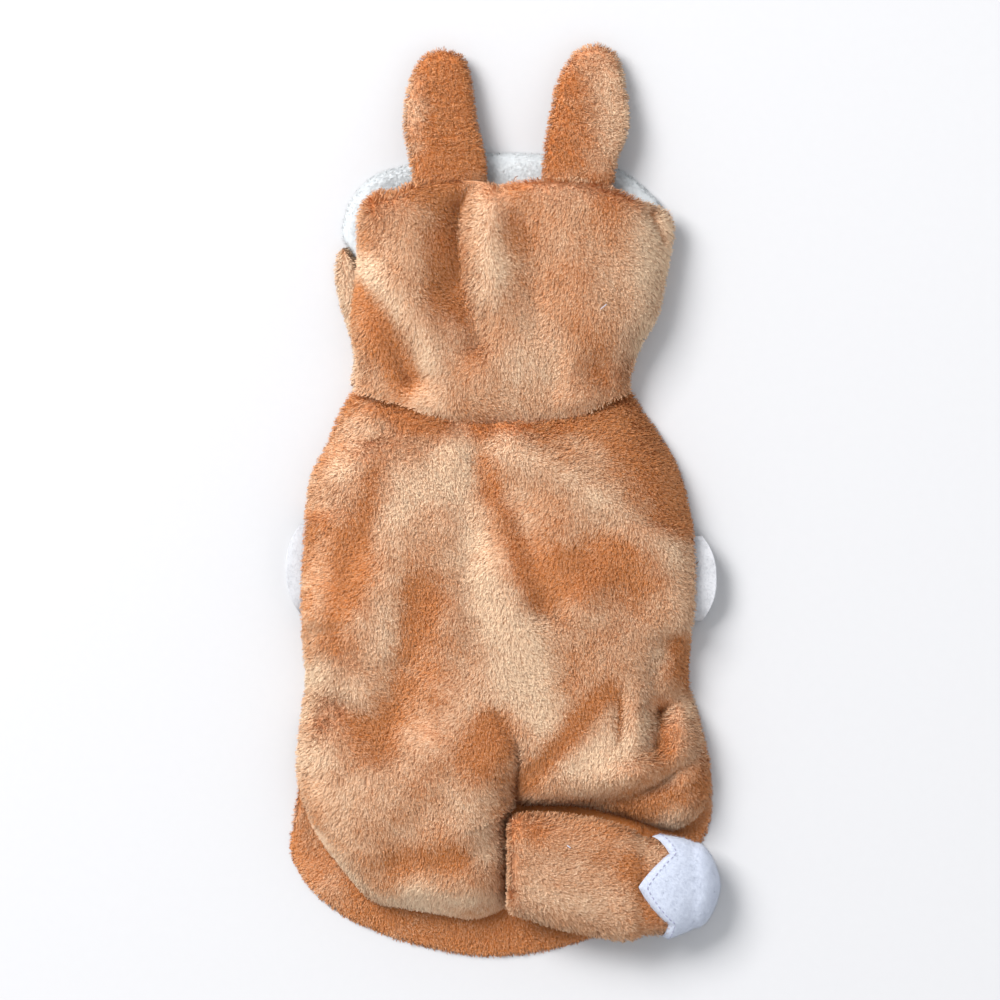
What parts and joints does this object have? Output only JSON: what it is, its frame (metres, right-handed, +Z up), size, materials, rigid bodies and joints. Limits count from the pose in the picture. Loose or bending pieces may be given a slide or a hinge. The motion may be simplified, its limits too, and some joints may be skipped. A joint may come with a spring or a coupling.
{
  "type": "dog costume",
  "caption": "Plush dog costume laid flat, back up: hood with stuffed ears, hollow body, leg sleeves with felt cuffs, and a stuffed tail with a felt tip.",
  "frame": {"origin": "centre of the bounding box's underside, on the surface that the costume lies on", "axes": "+Y along the garment from the hem to the ears, +Z up through its thickness, +X to the right with the back up"},
  "size_m": [0.2088, 0.4391, 0.0383],
  "materials": {
    "plush": "short-pile plush in orange brown, lighter where the nap lies towards the light",
    "felt": "white felt, matt, slightly cool",
    "fleece": "white fleece, soft and matt"
  },
  "bodies": {
    "root": {"back_panel": "plush", "belly_panel": "plush", "hem_panel": "plush", "hood_back": "plush", "hood_front": "plush", "hood_brow": "plush", "hood_trim": "fleece", "ear_left": "plush", "ear_right": "plush", "tail": "plush", "tail_tip": "felt", "sleeve_right": "plush", "cuff_right": "felt", "sleeve_left": "plush", "cuff_left": "felt"}
  },
  "joints": []
}
